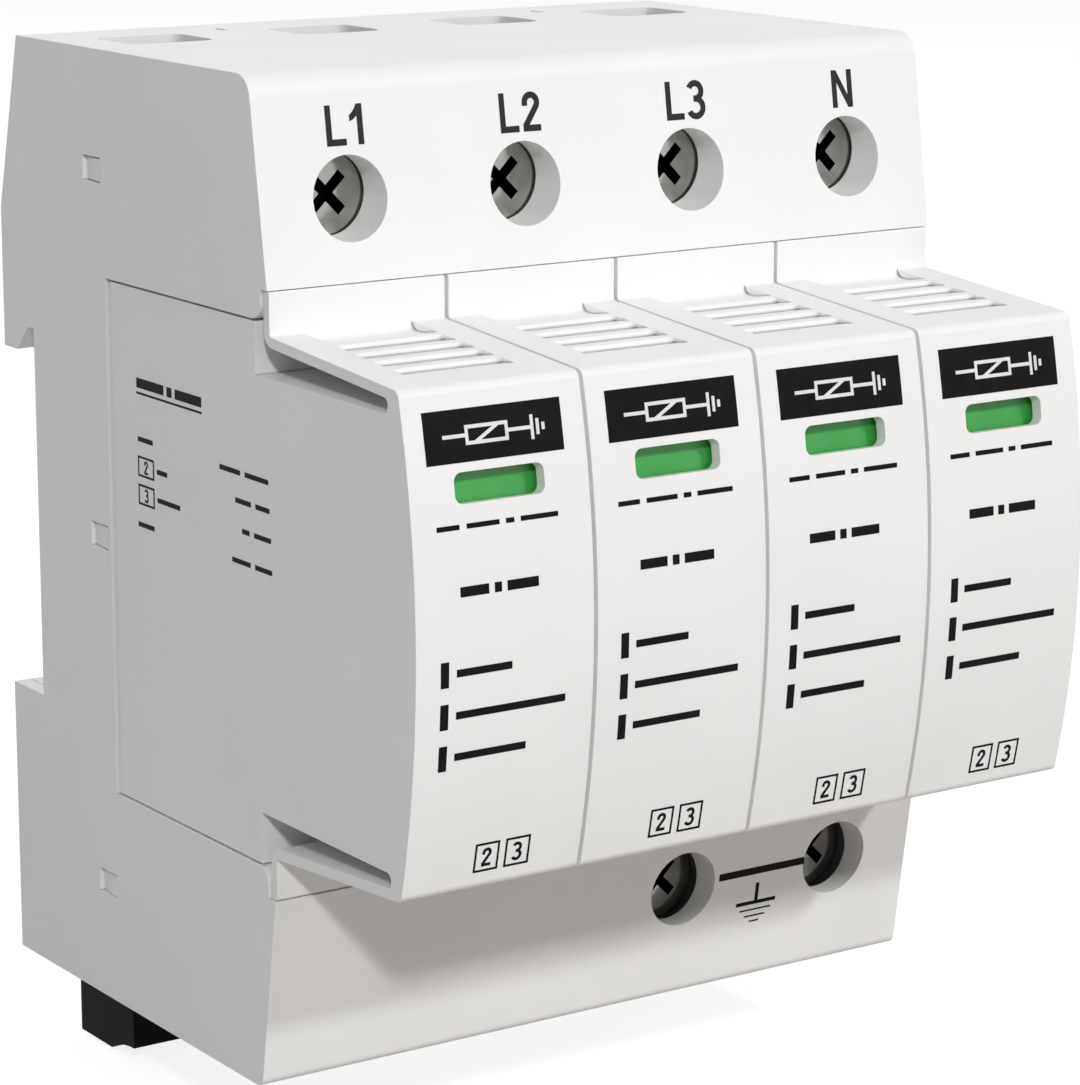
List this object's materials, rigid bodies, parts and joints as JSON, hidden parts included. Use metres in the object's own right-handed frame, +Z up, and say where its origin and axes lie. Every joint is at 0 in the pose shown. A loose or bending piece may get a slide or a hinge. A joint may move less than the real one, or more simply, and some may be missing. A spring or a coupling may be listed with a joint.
{
  "type": "din rail surge arrester",
  "caption": "Pluggable surge arrester for a 35 mm rail: white base with line terminals above, earth terminals below, and plug-in modules with green status windows.",
  "frame": {"origin": "middle of the rail seat, on the plane where the rail's lips lie", "axes": "+X along the rail, -Y out of the front, +Z up as mounted"},
  "size_m": [0.072, 0.0732, 0.099],
  "materials": {
    "housing_plastic": "satin moulded white",
    "module_plastic": "satin moulded white",
    "clip_plastic": "fine matt black",
    "flag_plastic": "bright green",
    "screw_steel": "dark zinc plated",
    "cage_steel": "zinc plated",
    "contact_copper": "bare copper strip",
    "blade_tin": "tin plated copper",
    "arm_bronze": "spring bronze",
    "varistor_coat": "blue epoxy coat"
  },
  "bodies": {
    "base": {"base_housing": "housing_plastic", "rear_plate": "housing_plastic", "earth_bar": "contact_copper", "line_contact_1": "contact_copper", "line_contact_2": "contact_copper", "line_contact_3": "contact_copper", "line_contact_4": "contact_copper"},
    "rail_clip_1": {"rail_clip_1": "clip_plastic"},
    "rail_clip_2": {"rail_clip_2": "clip_plastic"},
    "line_screw_1": {"line_screw_1": "screw_steel"},
    "line_cage_1": {"line_cage_1": "cage_steel"},
    "line_screw_2": {"line_screw_2": "screw_steel"},
    "line_cage_2": {"line_cage_2": "cage_steel"},
    "line_screw_3": {"line_screw_3": "screw_steel"},
    "line_cage_3": {"line_cage_3": "cage_steel"},
    "line_screw_4": {"line_screw_4": "screw_steel"},
    "line_cage_4": {"line_cage_4": "cage_steel"},
    "earth_screw_1": {"earth_screw_1": "screw_steel"},
    "earth_cage_1": {"earth_cage_1": "cage_steel"},
    "earth_screw_2": {"earth_screw_2": "screw_steel"},
    "earth_cage_2": {"earth_cage_2": "cage_steel"},
    "module_1": {"module_case_1": "module_plastic", "module_back_1": "module_plastic", "upper_blade_1": "blade_tin", "lower_blade_1": "blade_tin", "varistor_1": "varistor_coat", "thermal_arm_1": "arm_bronze"},
    "flag_1": {"status_flag_1": "flag_plastic"},
    "module_2": {"module_case_2": "module_plastic", "module_back_2": "module_plastic", "upper_blade_2": "blade_tin", "lower_blade_2": "blade_tin", "varistor_2": "varistor_coat", "thermal_arm_2": "arm_bronze"},
    "flag_2": {"status_flag_2": "flag_plastic"},
    "module_3": {"module_case_3": "module_plastic", "module_back_3": "module_plastic", "upper_blade_3": "blade_tin", "lower_blade_3": "blade_tin", "varistor_3": "varistor_coat", "thermal_arm_3": "arm_bronze"},
    "flag_3": {"status_flag_3": "flag_plastic"},
    "module_4": {"module_case_4": "module_plastic", "module_back_4": "module_plastic", "upper_blade_4": "blade_tin", "lower_blade_4": "blade_tin", "varistor_4": "varistor_coat", "thermal_arm_4": "arm_bronze"},
    "flag_4": {"status_flag_4": "flag_plastic"}
  },
  "joints": [
    {"name": "rail_clip_1_pull", "type": "slide", "parent": "base", "child": "rail_clip_1", "axis": [0, 0, -1], "range_m": [0, 0.005]},
    {"name": "rail_clip_2_pull", "type": "slide", "parent": "base", "child": "rail_clip_2", "axis": [0, 0, -1], "range_m": [0, 0.005]},
    {"name": "line_screw_1_turn", "type": "hinge", "parent": "base", "child": "line_screw_1", "pos_m": [-0.027, -0.03, 0.0341], "axis": [0, 1, 0], "range_deg": [0, 2530]},
    {"name": "line_cage_1_lift", "type": "slide", "parent": "base", "child": "line_cage_1", "axis": [0, -1, 0], "range_m": [0, 0.0056]},
    {"name": "line_screw_2_turn", "type": "hinge", "parent": "base", "child": "line_screw_2", "pos_m": [-0.009, -0.03, 0.0341], "axis": [0, 1, 0], "range_deg": [0, 2530]},
    {"name": "line_cage_2_lift", "type": "slide", "parent": "base", "child": "line_cage_2", "axis": [0, -1, 0], "range_m": [0, 0.0056]},
    {"name": "line_screw_3_turn", "type": "hinge", "parent": "base", "child": "line_screw_3", "pos_m": [0.009, -0.03, 0.0341], "axis": [0, 1, 0], "range_deg": [0, 2530]},
    {"name": "line_cage_3_lift", "type": "slide", "parent": "base", "child": "line_cage_3", "axis": [0, -1, 0], "range_m": [0, 0.0056]},
    {"name": "line_screw_4_turn", "type": "hinge", "parent": "base", "child": "line_screw_4", "pos_m": [0.027, -0.03, 0.0341], "axis": [0, 1, 0], "range_deg": [0, 2530]},
    {"name": "line_cage_4_lift", "type": "slide", "parent": "base", "child": "line_cage_4", "axis": [0, -1, 0], "range_m": [0, 0.0056]},
    {"name": "earth_screw_1_turn", "type": "hinge", "parent": "base", "child": "earth_screw_1", "pos_m": [0.009, -0.03, -0.0341], "axis": [0, 1, 0], "range_deg": [0, 2530]},
    {"name": "earth_cage_1_lift", "type": "slide", "parent": "base", "child": "earth_cage_1", "axis": [0, -1, 0], "range_m": [0, 0.0056]},
    {"name": "earth_screw_2_turn", "type": "hinge", "parent": "base", "child": "earth_screw_2", "pos_m": [0.027, -0.03, -0.0341], "axis": [0, 1, 0], "range_deg": [0, 2530]},
    {"name": "earth_cage_2_lift", "type": "slide", "parent": "base", "child": "earth_cage_2", "axis": [0, -1, 0], "range_m": [0, 0.0056]},
    {"name": "module_1_pull", "type": "slide", "parent": "base", "child": "module_1", "axis": [0, -1, 0], "range_m": [0, 0.03]},
    {"name": "flag_1_trip", "type": "slide", "parent": "module_1", "child": "flag_1", "axis": [0, 0.1446, 0.9895], "range_m": [0, 0.0029]},
    {"name": "module_2_pull", "type": "slide", "parent": "base", "child": "module_2", "axis": [0, -1, 0], "range_m": [0, 0.03]},
    {"name": "flag_2_trip", "type": "slide", "parent": "module_2", "child": "flag_2", "axis": [0, 0.1446, 0.9895], "range_m": [0, 0.0029]},
    {"name": "module_3_pull", "type": "slide", "parent": "base", "child": "module_3", "axis": [0, -1, 0], "range_m": [0, 0.03]},
    {"name": "flag_3_trip", "type": "slide", "parent": "module_3", "child": "flag_3", "axis": [0, 0.1446, 0.9895], "range_m": [0, 0.0029]},
    {"name": "module_4_pull", "type": "slide", "parent": "base", "child": "module_4", "axis": [0, -1, 0], "range_m": [0, 0.03]},
    {"name": "flag_4_trip", "type": "slide", "parent": "module_4", "child": "flag_4", "axis": [0, 0.1446, 0.9895], "range_m": [0, 0.0029]}
  ],
  "couplings": [
    {"joint": "line_screw_1_turn", "follows": "line_cage_1_lift", "rad_per_m": 7854},
    {"joint": "line_screw_2_turn", "follows": "line_cage_2_lift", "rad_per_m": 7854},
    {"joint": "line_screw_3_turn", "follows": "line_cage_3_lift", "rad_per_m": 7854},
    {"joint": "line_screw_4_turn", "follows": "line_cage_4_lift", "rad_per_m": 7854},
    {"joint": "earth_screw_1_turn", "follows": "earth_cage_1_lift", "rad_per_m": 7854},
    {"joint": "earth_screw_2_turn", "follows": "earth_cage_2_lift", "rad_per_m": 7854}
  ]
}
